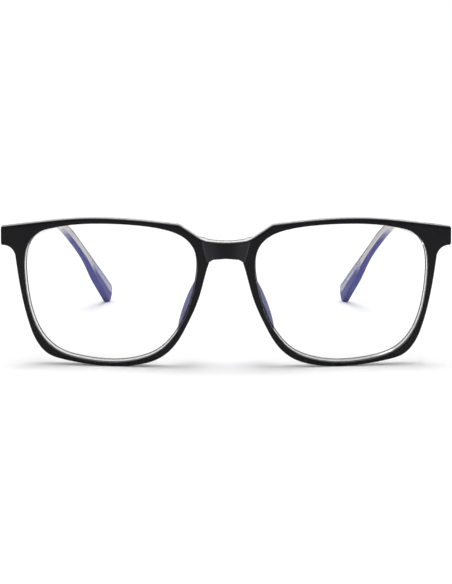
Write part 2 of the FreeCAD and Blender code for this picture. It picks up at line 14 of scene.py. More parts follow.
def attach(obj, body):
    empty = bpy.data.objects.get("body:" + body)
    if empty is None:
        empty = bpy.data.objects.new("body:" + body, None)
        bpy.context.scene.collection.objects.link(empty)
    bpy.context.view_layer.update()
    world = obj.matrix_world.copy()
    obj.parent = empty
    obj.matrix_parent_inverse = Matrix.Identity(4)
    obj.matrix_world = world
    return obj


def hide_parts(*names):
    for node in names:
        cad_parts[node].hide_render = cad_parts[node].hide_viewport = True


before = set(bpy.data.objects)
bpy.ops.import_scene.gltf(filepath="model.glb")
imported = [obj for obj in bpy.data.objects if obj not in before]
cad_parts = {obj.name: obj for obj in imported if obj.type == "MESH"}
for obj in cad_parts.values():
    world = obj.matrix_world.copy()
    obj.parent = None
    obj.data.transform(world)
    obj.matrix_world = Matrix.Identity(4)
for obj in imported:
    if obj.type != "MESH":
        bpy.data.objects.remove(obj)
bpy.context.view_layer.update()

MM = 0.001

# ---------------------------------------------------------------- dimensions of the front
CURVE_RADIUS = 320.0
CURVE_HEIGHT = 24.0
LEAN = math.radians(4.5)
SETBACK = 67.2
DROP = 0.2
BLACK_DEPTH = 1.8
CLEAR_START = 1.82
CLEAR_DEPTH = 4.2
REBATE_BACK = 3.76
REBATE_WIDTH = 0.65
SCOOP_RADIUS = 31.5
SCOOP_DEPTH = 0.64
SCOOP_TILT = math.radians(5.8)
SCOOP_MIDDLE = 37.2
SCOOP_BASE = 17.2
SCOOP_LIMIT = 20.0            # no scoop further out than this
OUTSIDE_SCOOP = -100.0        # a y in front of everything
SCOOP_DEPTH_SHARE = 0.999     # how much of a point's depth is added behind the scoop

BRIDGE_TOP = (0.0, 39.5)
BRIDGE_TOP_END = (6.1, 40.0)
SADDLE = [(7.2, 40.45), (8.3, 41.05)]
BROW_CORNER = [(13.6, 44.6), (14.45, 45.0), (15.4, 45.17)]
BROW = [(15.4, 45.17), (24.6, 46.12), (35.7, 46.72), (45.0, 46.52), (56.4, 45.27), (69.2, 43.42)]
END_TOP = [(69.2, 43.42), (69.72, 43.22), (69.88, 42.8)]
END_FOOT = [(70.0, 38.4), (69.85, 37.95), (69.4, 37.72)]
END_HOLLOW = [(69.4, 37.72), (66.75, 36.8), (65.45, 34.2)]
RIM = [
    (65.45, 34.2), (64.85, 28.9), (63.7, 21.2), (61.9, 13.2), (59.3, 6.7), (56.0, 3.2), (51.1, 1.6),
    (43.2, 0.38), (35.0, 0.0), (27.3, 0.72), (21.0, 2.85), (16.4, 6.7), (12.15, 13.7), (8.4, 22.3),
    (5.6, 32.3), (5.2, 33.55),
]
BRIDGE_CORNER = [(5.2, 33.55), (5.12, 33.72), (4.98, 33.83)]
BRIDGE_FOOT_END = (4.0, 34.4)
BRIDGE_FOOT = (0.0, 34.67)
OPENING = [
    (35.8, 45.18), (27.5, 44.85), (19.1, 43.7), (14.4, 42.15), (11.3, 39.9), (9.35, 36.5), (8.85, 31.8),
    (9.9, 24.8), (12.2, 17.2), (15.9, 10.55), (20.4, 5.6), (26.6, 2.6), (35.2, 1.22), (46.0, 2.1),
    (52.2, 3.9), (56.1, 6.7), (59.4, 11.6), (61.4, 17.7), (62.6, 27.2), (62.5, 33.8), (61.2, 38.4),
    (58.4, 41.6), (53.5, 43.5), (45.0, 44.85),
]
CLEAR_BRIDGE_RISE = 0.45
CLEAR_END_GROWTH = 0.35


# ---------------------------------------------------------------- curves
def natural_spline(points, closed, per_span):
    """A cubic spline through the points, with per_span samples on each span."""
    p = np.array(points, float)
    if closed:
        p = np.vstack([p[-3:], p, p[:4]])
    t = np.concatenate([[0], np.cumsum(np.linalg.norm(np.diff(p, axis=0), axis=1))])
    n = len(p)
    h = np.diff(t)
    a = np.eye(n)
    b = np.zeros_like(p)
    for i in range(1, n - 1):
        a[i, i - 1:i + 2] = (h[i - 1], 2 * (h[i - 1] + h[i]), h[i])
        b[i] = 6 * ((p[i + 1] - p[i]) / h[i] - (p[i] - p[i - 1]) / h[i - 1])
    m = np.linalg.solve(a, b)
    first, last = (3, n - 4) if closed else (0, n - 1)
    out = []
    for i in range(first, last):
        for s in np.linspace(0, 1, per_span, endpoint=False):
            x = s * h[i]
            r = h[i] - x
            out.append(m[i] * r ** 3 / (6 * h[i]) + m[i + 1] * x ** 3 / (6 * h[i])
                       + (p[i] / h[i] - m[i] * h[i] / 6) * r
                       + (p[i + 1] / h[i] - m[i + 1] * h[i] / 6) * x)
    if not closed:
        out.append(p[-1])
    return np.array(out)


def arc(points, count=6):
    """Points along the circle arc through three points."""
    (ax, ay), (bx, by), (cx, cy) = points
    d = 2 * (ax * (by - cy) + bx * (cy - ay) + cx * (ay - by))
    ux = ((ax * ax + ay * ay) * (by - cy) + (bx * bx + by * by) * (cy - ay)
          + (cx * cx + cy * cy) * (ay - by)) / d
    uy = ((ax * ax + ay * ay) * (cx - bx) + (bx * bx + by * by) * (ax - cx)
          + (cx * cx + cy * cy) * (bx - ax)) / d
    start, middle, end = [math.atan2(y - uy, x - ux) for x, y in points]
    turn = (end - start) % (2 * math.pi)
    if (middle - start) % (2 * math.pi) > turn:
        turn -= 2 * math.pi
    radius = math.hypot(ax - ux, ay - uy)
    angles = start + turn * np.linspace(0, 1, count + 1)
    return np.stack([ux + radius * np.cos(angles), uy + radius * np.sin(angles)], 1)


def even(points, step, closed=False):
    """The same polyline with even spacing."""
    p = np.array(points, float)
    if closed:
        p = np.vstack([p, p[:1]])
    t = np.concatenate([[0], np.cumsum(np.linalg.norm(np.diff(p, axis=0), axis=1))])
    count = max(int(round(t[-1] / step)), 2)
    s = np.linspace(0, t[-1], count + 1)
    q = np.stack([np.interp(s, t, p[:, k]) for k in range(p.shape[1])], 1)
    return q[:-1] if closed else q


def half_outline(rise=0.0, growth=0.0):
    """The left half of the front's outline, from the bridge's top round to its underside."""
    def out(points):
        return [(u + growth, z) for u, z in points]
    top_end = (BRIDGE_TOP_END[0] - rise, BRIDGE_TOP_END[1] + rise)
    saddle = [top_end, (SADDLE[0][0] - rise, SADDLE[0][1] + rise), SADDLE[1]]
    middle = (0.5 * BRIDGE_TOP_END[0], 0.75 * BRIDGE_TOP[1] + 0.25 * BRIDGE_TOP_END[1] + rise)
    end_top = [END_TOP[0]] + out(END_TOP[1:])
    end_foot = out(END_FOOT[:2]) + [END_FOOT[2]]
    runs = [
        even(arc([(BRIDGE_TOP[0], BRIDGE_TOP[1] + rise), middle, top_end], 30), 0.4),
        arc(saddle, 5),
        even([saddle[-1], BROW_CORNER[0]], 0.45),
        arc(BROW_CORNER, 6),
        even(natural_spline(BROW, False, 40), 0.5),
        arc(end_top, 6),
        even([end_top[-1], end_foot[0]], 0.4),
        arc(end_foot, 6),
        even(arc(END_HOLLOW, 20), 0.35),
        even(natural_spline(RIM, False, 30), 0.45),
        arc(BRIDGE_CORNER, 6),
        even([BRIDGE_CORNER[-1], BRIDGE_FOOT_END], 0.35),
        even([BRIDGE_FOOT_END, BRIDGE_FOOT], 0.4),
    ]
    return np.vstack([run[:-1] for run in runs] + [np.array([BRIDGE_FOOT])])


def outline(rise=0.0, growth=0.0):
    half = half_outline(rise, growth)
    mirror = half[::-1] * (-1, 1)
    return np.vstack([half, mirror[1:-1]])


def opening(side):
    loop = even(natural_spline(OPENING, True, 30), 0.45, closed=True)
    return loop * (side, 1)


def outward(loop):
    """Unit normals that point away from the inside of a closed loop."""
    after = np.roll(loop, -1, 0)
    before = np.roll(loop, 1, 0)
    t = after - before
    t /= np.linalg.norm(t, axis=1)[:, None]
    area = 0.5 * np.sum(loop[:, 0] * after[:, 1] - after[:, 0] * loop[:, 1])
    n = np.stack([t[:, 1], -t[:, 0]], 1)
    return n if area > 0 else -n


# ---------------------------------------------------------------- the front's surfaces
def ball_y(u, z, depth):
    r = CURVE_RADIUS - depth
    return CURVE_RADIUS - np.sqrt(r * r - u * u - (z - CURVE_HEIGHT) ** 2)


SCOOP_Y = (SCOOP_DEPTH - SCOOP_RADIUS + (SCOOP_MIDDLE - CURVE_HEIGHT) ** 2 / (2 * CURVE_RADIUS)
           - (SCOOP_MIDDLE - SCOOP_BASE) * math.tan(SCOOP_TILT))


def scoop_y(u, z):
    """The shallow cylinder cut across the bridge."""
    half = np.sqrt(np.maximum(SCOOP_RADIUS ** 2 - u * u, 0))
    y = SCOOP_Y + ((z - SCOOP_BASE) * math.sin(SCOOP_TILT) + half) / math.cos(SCOOP_TILT)
    return np.where(np.abs(u) < SCOOP_LIMIT, y, OUTSIDE_SCOOP)


def plain_surface(uz, depth):
    u, z = uz[:, 0], uz[:, 1]
    return np.stack([u, ball_y(u, z, depth), z], 1)


def scooped_surface(uz, depth):
    p = plain_surface(uz, depth)
    p[:, 1] = np.maximum(p[:, 1], scoop_y(uz[:, 0], uz[:, 1]) + depth * SCOOP_DEPTH_SHARE)
    return p


def to_frame(p):
    """From the front's own coordinates to the shared frame."""
    p = np.asarray(p, float)
    x, y, z = p[..., 0], p[..., 1], p[..., 2]
    return np.stack([x, y * math.cos(LEAN) - z * math.sin(LEAN) - SETBACK,
                     y * math.sin(LEAN) + z * math.cos(LEAN) - DROP], -1)


def from_frame(place):
    """Of a place in metres: u and z in the front's own coordinates, and the depth there."""
    x, y, z = [c / MM for c in place]
    y_front = (y + SETBACK) * math.cos(LEAN) + (z + DROP) * math.sin(LEAN)
    z_front = (z + DROP) * math.cos(LEAN) - (y + SETBACK) * math.sin(LEAN)
    depth = CURVE_RADIUS - math.hypot(x, y_front - CURVE_RADIUS, z_front - CURVE_HEIGHT)
    return x, z_front, depth


# ---------------------------------------------------------------- mesh helpers
def inside(points, loops):
    """Which points are inside the outer loop and outside the holes (even-odd)."""
    flag = np.zeros(len(points), bool)
    x, y = points[:, 0][:, None], points[:, 1][:, None]
    for loop in loops:
        a, b = loop, np.roll(loop, -1, 0)
        crossing = ((a[:, 1] > y) != (b[:, 1] > y)) & (
            x < (b[:, 0] - a[:, 0]) * (y - a[:, 1]) / (b[:, 1] - a[:, 1] + 1e-30) + a[:, 0])
        flag ^= (crossing.sum(1) % 2).astype(bool)
    return flag


def away(points, loops, gap):
    """Which points are at least gap away from every loop point."""
    flag = np.ones(len(points), bool)
    for loop in loops:
        for start in range(0, len(points), 500):
            part = points[start:start + 500]
            d = np.min(np.sum((part[:, None] - loop[None]) ** 2, 2), 1)
            flag[start:start + 500] &= d > gap * gap
    return flag


def cap(loops, spacing, creases=()):
    """A flat region as (points, triangles, crease edges); the loops' points come first, in order."""
    boundary = np.vstack(loops)
    edges = []
    start = 0
    for loop in loops:
        n = len(loop)
        edges += [(start + i, start + (i + 1) % n) for i in range(n)]
        start += n
    low, high = boundary.min(0), boundary.max(0)
    rows = np.arange(low[1], high[1], spacing * 0.866)
    grid = []
    for k, z in enumerate(rows):
        row = np.arange(low[0] + (spacing / 2 if k % 2 else 0), high[0], spacing)
        grid.append(np.stack([row, np.full(len(row), z)], 1))
    grid = np.vstack(grid)
    grid = grid[inside(grid, loops)]
    grid = grid[away(grid, loops, spacing * 0.45)]
    points = [boundary]
    crease_edges = []
    count = len(boundary)
    for crease in creases:
        keep = crease[inside(crease, loops) & away(crease, loops, 0.12)]
        if len(keep) > 1:
            grid = grid[away(grid, [keep], 0.35)]
            points.append(keep)
            crease_edges += [(count + i, count + i + 1) for i in range(len(keep) - 1)]
            count += len(keep)
    points.append(grid)
    points = np.vstack(points)
    verts, _, faces, origin, _, _ = delaunay_2d_cdt(
        [Vector(p) for p in points], edges + crease_edges, [], 0, 1e-7)
    source = [o[0] if o else -1 for o in origin]
    faces = np.array([[source[i] for i in f] for f in faces if len(f) == 3])
    faces = faces[(faces >= 0).all(1)]
    middle = points[faces].mean(1)
    return points, faces[inside(middle, loops)], crease_edges


def make_mesh(name, verts, faces, sharp_angle=35.0, sharp_edges=()):
    mesh = bpy.data.meshes.new(name)
    mesh.from_pydata([tuple(v) for v in np.asarray(verts, float) * MM], [],
                     [tuple(int(i) for i in f) for f in faces])
    mesh.validate()
    mesh.polygons.foreach_set("use_smooth", [True] * len(mesh.polygons))
    mesh.set_sharp_from_angle(angle=math.radians(sharp_angle))
    if len(sharp_edges):
        wanted = {frozenset(e) for e in sharp_edges}
        for edge in mesh.edges:
            if frozenset(edge.vertices) in wanted:
                edge.use_edge_sharp = True
    mesh.update()
    obj = bpy.data.objects.new(name, mesh)
    bpy.context.scene.collection.objects.link(obj)
    return obj


def quarter(radius, depth, steps, to_back=False):
    """(inset, depth) pairs round an edge, from the face to the wall or the other way."""
    out = []
    for k in range(steps + 1):
        a = math.radians(90.0 * k / steps)
        out.append((radius * (1 - math.sin(a)), radius * (1 - math.cos(a))))
    if to_back:
        return [(i, depth - d) for i, d in out[::-1]]
    return [(i, depth + d) for i, d in out]


def plate(name, loops, profiles, surface, spacing, creases=()):
    """A curved plate: for each loop its profile is the list of (inset, depth) from face to back."""
    rings = []
    for index, (loop, profile) in enumerate(zip(loops, profiles)):
        normal = outward(loop) * (1 if index == 0 else -1)
        rings.append([(loop - normal * inset, depth) for inset, depth in profile])
    verts, faces, sharp = [], [], []
    count = 0
    ring_start = []
    for ring_list in rings:
        starts = []
        for flat, depth in ring_list:
            verts.append(surface(flat, depth))
            starts.append(count)
            count += len(flat)
        ring_start.append(starts)
    for index, (ring_list, starts) in enumerate(zip(rings, ring_start)):
        n = len(ring_list[0][0])
        for a, b in zip(starts[:-1], starts[1:]):
            for i in range(n):
                j = (i + 1) % n
                quad = (a + i, a + j, b + j, b + i)
                faces.append(quad if index == 0 else quad[::-1])
    for end in (0, -1):
        cap_loops = [ring_list[end][0] for ring_list in rings]
        depth = rings[0][end][1]
        lines = creases if end == 0 else ()
        points, triangles, crease_edges = cap(cap_loops, spacing, lines)
        where = []
        for ring_list, starts in zip(rings, ring_start):
            first = starts[end]
            where += list(range(first, first + len(ring_list[end][0])))
        extra = points[len(where):]
        where += list(range(count, count + len(extra)))
        verts.append(surface(extra, depth))
        count += len(extra)
        where = np.array(where)
        for t in triangles:
            a, b, c = points[t]
            turn = (b[0] - a[0]) * (c[1] - a[1]) - (b[1] - a[1]) * (c[0] - a[0])
            front_way = t if turn > 0 else t[::-1]
            faces.append(tuple(where[front_way] if end == 0 else where[front_way[::-1]]))
        sharp += [(int(where[i]), int(where[j])) for i, j in crease_edges]
    verts = to_frame(np.vstack(verts))
    return make_mesh(name, verts, faces, 35.0, sharp)


# ---------------------------------------------------------------- the black front
def scoop_creases():
    lines = []
    heights = np.arange(33.6, 41.0, 0.3)
    low = np.full(len(heights), 1.0)
    high = np.full(len(heights), 12.0)
    for _ in range(50):
        mid = 0.5 * (low + high)
        deeper = scoop_y(mid, heights) > ball_y(mid, heights, 0.0)
        low = np.where(deeper, mid, low)
        high = np.where(deeper, high, mid)
    for side in (1.0, -1.0):
        lines.append(np.stack([side * low, heights], 1))
    return lines


FACE_ROUND = 0.3
black_profile = (quarter(FACE_ROUND, 0.0, 5) + [(0.0, 1.0)]
                 + [(0.0, BLACK_DEPTH - 0.06), (0.06, BLACK_DEPTH)])
black_loops = [outline(), opening(1.0), opening(-1.0)]
creases = scoop_creases()
front = plate("front_black_layer", black_loops, [black_profile] * 3, scooped_surface, 1.2, creases)
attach(front, "front")
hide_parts("front_frame")

# ---------------------------------------------------------------- the clear rear layer
BACK_ROUND = 0.45
clear_outer = ([(0.05, CLEAR_START), (0.0, CLEAR_START + 0.05), (0.0, 2.9)]
               + quarter(BACK_ROUND, CLEAR_DEPTH, 5, to_back=True))
LIP_REACH = 0.32    # how far the clear layer's lip shows inside the black opening
# LIP_LINE is the width of the band of painted shade along the lip's edge.
LIP_LINE = 0.30     # the width of the darker line along the edge of that lip
LIP_ROUND = 0.25
clear_inner = ([(REBATE_WIDTH, CLEAR_START), (REBATE_WIDTH, REBATE_BACK),
                (LIP_LINE - LIP_REACH, REBATE_BACK), (-LIP_REACH, REBATE_BACK)]
               + [(inset - LIP_REACH, depth)
                  for inset, depth in quarter(LIP_ROUND, CLEAR_DEPTH, 4, to_back=True)])
clear_loops = [outline(CLEAR_BRIDGE_RISE, CLEAR_END_GROWTH), opening(1.0), opening(-1.0)]
rear = plate("rear_clear_layer", clear_loops, [clear_outer, clear_inner, clear_inner],
             plain_surface, 1.4)

LUG_BASE_Y = 5.2
LUG_PLAN = [(61.2, LUG_BASE_Y), (69.9, LUG_BASE_Y), (69.9, 10.6),
            (66.0, 10.6), (66.0, 9.2), (61.2, 9.2)]
LUG_Z = (37.95, 43.3)


def prism(name, plan, low, high, side):
    """An upright prism that doesn't lean with the front."""
    n = len(plan)
    verts = [(side * x, y - SETBACK, z) for z in (low, high) for x, y in plan]
    faces = [tuple(range(n))[::-1], tuple(range(n, 2 * n))]
    faces += [(i, (i + 1) % n, n + (i + 1) % n, n + i) for i in range(n)]
    if side < 0:
        faces = [f[::-1] for f in faces]
    return make_mesh(name, verts, faces)


def apply_modifiers(obj):
    """Bakes the modifiers of an object into its mesh."""
    graph = bpy.context.evaluated_depsgraph_get()
    mesh = bpy.data.meshes.new_from_object(obj.evaluated_get(graph))
    obj.modifiers.clear()
    obj.data = mesh


lugs = []
for side, side_name in ((1.0, "left"), (-1.0, "right")):
    lug = prism("lug_" + side_name, LUG_PLAN, LUG_Z[0], LUG_Z[1], side)
    bevel = lug.modifiers.new("edges", "BEVEL")
    bevel.width = 0.3 * MM
    bevel.segments = 3
    bevel.limit_method = "ANGLE"
    apply_modifiers(lug)
    union = rear.modifiers.new("lug_" + side_name, "BOOLEAN")
    union.operation = "UNION"
    union.solver = "EXACT"
    union.object = lug
    lugs.append(lug)
bpy.context.view_layer.update()
apply_modifiers(rear)
for lug in lugs:
    bpy.data.objects.remove(lug)
rear.data.polygons.foreach_set("use_smooth", [True] * len(rear.data.polygons))
rear.data.set_sharp_from_angle(angle=math.radians(35))
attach(rear, "front")
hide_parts("rear_frame")


# ---------------------------------------------------------------- lenses
LENS_START = 1.82
LENS_BACK = 3.72
LENS_GROWTH = 0.60
lens_profile = ([(0.12, LENS_START), (0.0, LENS_START + 0.12), (0.0, LENS_BACK - 0.12),
                 (0.12, LENS_BACK)])
lenses = []
for side, side_name in ((1.0, "left"), (-1.0, "right")):
    loop = opening(side)
    loop = loop + outward(loop) * LENS_GROWTH
    if side < 0:
        loop = loop[::-1]
    lens = plate("lens_disc_" + side_name, [loop], [lens_profile], plain_surface, 2.2)
    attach(lens, "front")
    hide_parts("lens_" + side_name)
    lenses.append(lens)

# ---------------------------------------------------------------- nose pads
PAD_MIDDLE = np.array([10.6, 3.2, 19.7])
PAD_LENGTH = 21.0
PAD_REACH = 8.4
PAD_THICKNESS = 1.7
PAD_FLARE = math.radians(9.5)
PAD_RAKE = math.radians(22.0)
down_rim = np.array([math.sin(PAD_RAKE), 0, -math.cos(PAD_RAKE)])
across = np.array([-down_rim[2], 0, down_rim[0]])
stand_back = np.array([0, math.cos(PAD_FLARE), 0]) + across * math.sin(PAD_FLARE)
pad_normal = np.cross(down_rim, stand_back)
BALL_CENTRE = np.array([0, CURVE_RADIUS, CURVE_HEIGHT])


def seat(start, direction, depth):
    """How far along direction a line from start meets the ball at that depth."""
    r = CURVE_RADIUS - depth
    oc = start - BALL_CENTRE
    b = 2 * oc @ direction
    c = oc @ oc - r * r
    return (-b - math.sqrt(b * b - 4 * c)) / 2


def nose_pad(name, side):
    stations = np.sin(np.linspace(-0.5, 0.5, 41) * math.pi)
    ring = []
    for s in stations:
        fullness = math.sqrt(max(1 - s * s, 0.0))
        x = s * PAD_LENGTH / 2
        half = PAD_THICKNESS / 2 * (0.35 + 0.65 * fullness ** 0.5)
        reach = max(PAD_REACH * fullness, half + 0.05)
        profile = []
        straight_end = max(reach - half * 1.5, 0.0)
        for f in (0.35, 0.7, 1.0):
            profile.append((straight_end * f, 1.0))
        for k in range(1, 8):
            a = math.radians(90 - 180 * k / 8)
            profile.append((straight_end + (reach - straight_end) * math.cos(a), math.sin(a)))
        for f in (1.0, 0.7, 0.35):
            profile.append((straight_end * f, -1.0))
        section = []
        for w in (-1.0, -0.4, 0.4, 1.0):
            base = PAD_MIDDLE + down_rim * x + pad_normal * w * half
            section.append(base + stand_back * seat(base, stand_back, CLEAR_DEPTH - 0.15))
        low_seat = seat(PAD_MIDDLE + down_rim * x, stand_back, CLEAR_DEPTH)
        for y, w in profile:
            y = max(y, low_seat + 0.02)
            section.append(PAD_MIDDLE + down_rim * x + stand_back * y + pad_normal * w * half)
        ring.append(section)
    n = len(ring[0])
    verts = [p for section in ring for p in section]
    faces = []
    for k in range(len(ring) - 1):
        for i in range(n):
            j = (i + 1) % n
            faces.append((k * n + i, k * n + j, (k + 1) * n + j, (k + 1) * n + i))
    faces.append(tuple(range(n))[::-1])
    faces.append(tuple(range((len(ring) - 1) * n, len(ring) * n)))
    verts = to_frame(np.array(verts)) * (side, 1, 1)
    if side < 0:
        faces = [f[::-1] for f in faces]
    return make_mesh(name, verts, faces, 50)


pads = []
for side, side_name in ((1.0, "left"), (-1.0, "right")):
    pad = nose_pad("pad_" + side_name, side)
    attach(pad, "front")
    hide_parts("nose_pad_" + side_name)
    pads.append(pad)

# ---------------------------------------------------------------- temples
ARM_FRONT = 10.65
ARM_BACK = 66.0
ARM_BOTTOM = [(ARM_FRONT, 37.9), (ARM_BACK, 37.15)]
ARM_TOP = [(ARM_FRONT, 43.0), (ARM_BACK, 40.85)]
BEND_BOTTOM = [(ARM_BACK, 37.15), (74.5, 36.95), (84.8, 35.35), (96.6, 29.1)]
BEND_TOP = [(ARM_BACK, 40.85), (75.0, 40.3), (86.4, 38.5), (97.6, 32.95)]
PADDLE_BOTTOM = [(96.6, 29.1), (107.8, 21.5), (113.2, 16.9), (118.3, 11.9), (125.4, 6.1), (132.0, 0.7)]
PADDLE_TOP = [(97.6, 32.95), (134.3, 8.2)]
TIP_BACK = [(134.3, 8.2), (136.85, 4.6), (135.1, 1.35)]
TIP_FOOT = [(135.1, 1.35), (133.4, 0.0), (132.0, 0.7)]
# x, y and thickness along each temple, past the straight arm
PLAN = [
    (64.28, 66.0, 2.1), (63.65, 76.0, 2.1), (62.75, 86.0, 2.1), (60.6, 95.0, 2.1), (58.0, 105.0, 2.15),
    (54.7, 118.0, 2.5), (52.1, 128.0, 2.65), (49.2, 139.5, 2.4),
]
ARM_FRONT_X = 67.6
ARM_FRONT_THICKNESS = 3.2
plan_curve = natural_spline([(y, x) for x, y, thickness in PLAN], False, 20)


def plan_at(y):
    """Centre x and thickness of a temple at y."""
    if y < ARM_BACK:
        s = (y - ARM_FRONT) / (ARM_BACK - ARM_FRONT)
        return (ARM_FRONT_X + (PLAN[0][0] - ARM_FRONT_X) * s,
                ARM_FRONT_THICKNESS + (PLAN[0][2] - ARM_FRONT_THICKNESS) * s)
    x = float(np.interp(y, plan_curve[:, 0], plan_curve[:, 1]))
    slope = float(np.interp(y + 1, plan_curve[:, 0], plan_curve[:, 1])) - x
    thickness = float(np.interp(y, [p[1] for p in PLAN], [p[2] for p in PLAN]))
    return x, thickness * math.sqrt(1 + slope * slope)


def same_count(points, count):
    """The polyline with count even spans."""
    p = np.array(points, float)
    t = np.concatenate([[0], np.cumsum(np.linalg.norm(np.diff(p, axis=0), axis=1))])
    s = np.linspace(0, t[-1], count + 1)
    return np.stack([np.interp(s, t, p[:, k]) for k in range(2)], 1)


TIP_APEX = 41    # the step along the back of the tip where its two edges meet


def temple_sides():
    """Matching points along the temple's lower and upper edges."""
    back = arc(TIP_BACK, 60)
    tip_low = np.vstack([arc(TIP_FOOT[::-1], 30), back[:TIP_APEX - 1:-1][1:]])
    tip_high = back[:TIP_APEX + 1]
    low = [same_count(ARM_BOTTOM, 40)[:-1], same_count(natural_spline(BEND_BOTTOM, False, 20), 30)[:-1],
           same_count(natural_spline(PADDLE_BOTTOM, False, 20), 44)[:-1]]
    high = [same_count(ARM_TOP, 40)[:-1], same_count(natural_spline(BEND_TOP, False, 20), 30)[:-1],
            same_count(PADDLE_TOP, 44)[:-1]]
    count = 24
    shares = np.sin(np.linspace(0, 0.5, count + 1) * math.pi)
    for parts, path in ((low, tip_low), (high, tip_high)):
        t = np.concatenate([[0], np.cumsum(np.linalg.norm(np.diff(path, axis=0), axis=1))])
        parts.append(np.stack([np.interp(shares * t[-1], t, path[:, k]) for k in range(2)], 1))
    return np.vstack(low), np.vstack(high), count


EDGE_ROUND = 0.62


def section_points(height, thickness):
    """A rounded rectangle as (distance up, distance across) pairs."""
    r = min(EDGE_ROUND, height / 2.05, thickness / 2.05)
    out = []
    corners = [(height - r, thickness / 2 - r, 0), (height - r, -thickness / 2 + r, 90),
               (r, -thickness / 2 + r, 180), (r, thickness / 2 - r, 270)]
    for k, (h, w, start) in enumerate(corners):
        for step in range(6):
            a = math.radians(start + 18.0 * step)
            out.append((h + r * math.sin(a), w + r * math.cos(a)))
        nh, nw = corners[(k + 1) % 4][:2]
        a = math.radians(start + 90)
        last = out[-1]
        b = math.radians(corners[(k + 1) % 4][2])
        nxt = (nh + r * math.sin(b), nw + r * math.cos(b))
        spans = 14 if k % 2 else 4
        for s in np.linspace(0, 1, spans + 1)[1:-1]:
            out.append((last[0] + (nxt[0] - last[0]) * s, last[1] + (nxt[1] - last[1]) * s))
    return out


def smooth(low, high, value):
    s = min(max((value - low) / (high - low), 0.0), 1.0)
    return s * s * (3 - 2 * s)


TINT_START = (80.0, 98.0)
CORE_END = (112.0, 119.0)


def violet_and_shade(y, share):
    """How violet the plastic looks at y along the temple and at a share of its height: the violet grows
    along the temple as its dye does; the darker bands across its height are painted shade.
    """
    start = smooth(*TINT_START, y)
    past_core = smooth(*CORE_END, y)
    # Painted shade: darker bands along the low and high edges; after the core, a dark lower field and a
    # weaker upper one with a paler painted line between them.
    low_shade_band = 1 - smooth(0.14, 0.24, share)
    low_shade_field = 1 - smooth(0.52, 0.62, share)
    high_shade_band = smooth(0.86, 0.95, share)
    high_shade_field = smooth(0.66, 0.76, share)
    before = max(low_shade_band, 0.75 * high_shade_band, 0.05)
    after = max(low_shade_field, 0.52 * high_shade_field, 0.30)
    return start * (before * (1 - past_core) + after * past_core)


def temple(name, side):
    low, high, tip_count = temple_sides()
    rows = []
    violet_and_shade_values = []
    total = len(low)
    for k in range(total):
        gap = high[k] - low[k]
        height = max(float(np.linalg.norm(gap)), 0.02)
        up = gap / height if np.linalg.norm(gap) > 1e-6 else np.array([0.3, 0.95])
        _, thickness = plan_at(0.5 * (low[k][0] + high[k][0]))
        past = max(k - (total - 1 - tip_count), 0) / tip_count
        thickness *= max(math.sqrt(max(1 - past ** 3, 0.0)), 0.06)
        row = []
        for h, w in section_points(height, thickness):
            y, z = low[k] + up * h
            x, _ = plan_at(y)
            row.append((side * (x + w), y - SETBACK, z))
            violet_and_shade_values.append(violet_and_shade(0.5 * (low[k][0] + high[k][0]), h / height))
        rows.append(row)
    n = len(rows[0])
    verts = [p for row in rows for p in row]
    faces = []
    for k in range(total - 1):
        for i in range(n):
            j = (i + 1) % n
            faces.append((k * n + i, k * n + j, (k + 1) * n + j, (k + 1) * n + i))
    faces.append(tuple(range(n))[::-1])
    faces.append(tuple(range((total - 1) * n, total * n)))
    if side > 0:
        faces = [f[::-1] for f in faces]
    obj = make_mesh(name, verts, faces, 50)
    # The violet dye and painted shade at each point, for the material.
    layer = obj.data.attributes.new("violet_and_shade", "FLOAT", "POINT")
    layer.data.foreach_set("value", violet_and_shade_values)
    return obj


temples = []
for side, side_name in ((1.0, "left"), (-1.0, "right")):
    arm = temple("temple_arm_" + side_name, side)
    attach(arm, side_name + "_temple")
    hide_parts("temple_" + side_name)
    temples.append(arm)


# ---------------------------------------------------------------- materials
class Nodes:
    """Short calls to build one node material."""

    def __init__(self, name):
        self.material = bpy.data.materials.new(name)
        self.material.use_nodes = True
        self.tree = self.material.node_tree
        self.shader = self.tree.nodes["Principled BSDF"]
        self.place = self.tree.nodes.new("ShaderNodeTexCoord").outputs["Object"]

    def set(self, **values):
        for key, value in values.items():
            self.shader.inputs[key.replace("_", " ")].default_value = value

    def node(self, kind, **inputs):
        n = self.tree.nodes.new(kind)
        for key, value in inputs.items():
            socket = n.inputs[key.replace("_", " ")]
            if hasattr(value, "is_output"):
                self.tree.links.new(value, socket)
            else:
                socket.default_value = value
        return n

    def link(self, output, socket):
        self.tree.links.new(output, self.shader.inputs[socket])

    def noise(self, scale, detail=4.0, stretch=(1, 1, 1)):
        mapping = self.node("ShaderNodeMapping", Vector=self.place)
        mapping.inputs["Scale"].default_value = stretch
        return self.node("ShaderNodeTexNoise", Vector=mapping.outputs["Vector"],
                         Scale=scale, Detail=detail).outputs["Fac"]

    def span(self, value, low, high, to_low, to_high):
        n = self.node("ShaderNodeMapRange", Value=value)
        for key, number in (("From Min", low), ("From Max", high),
                            ("To Min", to_low), ("To Max", to_high)):
            n.inputs[key].default_value = number
        return n.outputs["Result"]

    def ramp(self, value, stops):
        n = self.node("ShaderNodeValToRGB", Fac=value)
        ramp = n.color_ramp
        while len(ramp.elements) < len(stops):
            ramp.elements.new(0.5)
        for element, (position, colour) in zip(ramp.elements, stops):
            element.position = position
            element.color = (*colour, 1)
        return n.outputs["Color"]

    def bump(self, height, strength, distance):
        n = self.node("ShaderNodeBump", Strength=strength, Distance=distance, Height=height)
        self.link(n.outputs["Normal"], "Normal")


def black_plastic():
    m = Nodes("black_plastic")
    tone = m.noise(180, 3)
    m.link(m.ramp(tone, [(0.3, (0.0030, 0.0028, 0.0040)), (0.7, (0.0042, 0.0040, 0.0055))]),
           "Base Color")
    m.link(m.span(m.noise(900, 5), 0.3, 0.7, 0.20, 0.28), "Roughness")
    m.set(Specular_IOR_Level=0.15, IOR=1.49)
    m.bump(m.noise(2600, 4), 0.03, 0.00002)
    return m.material


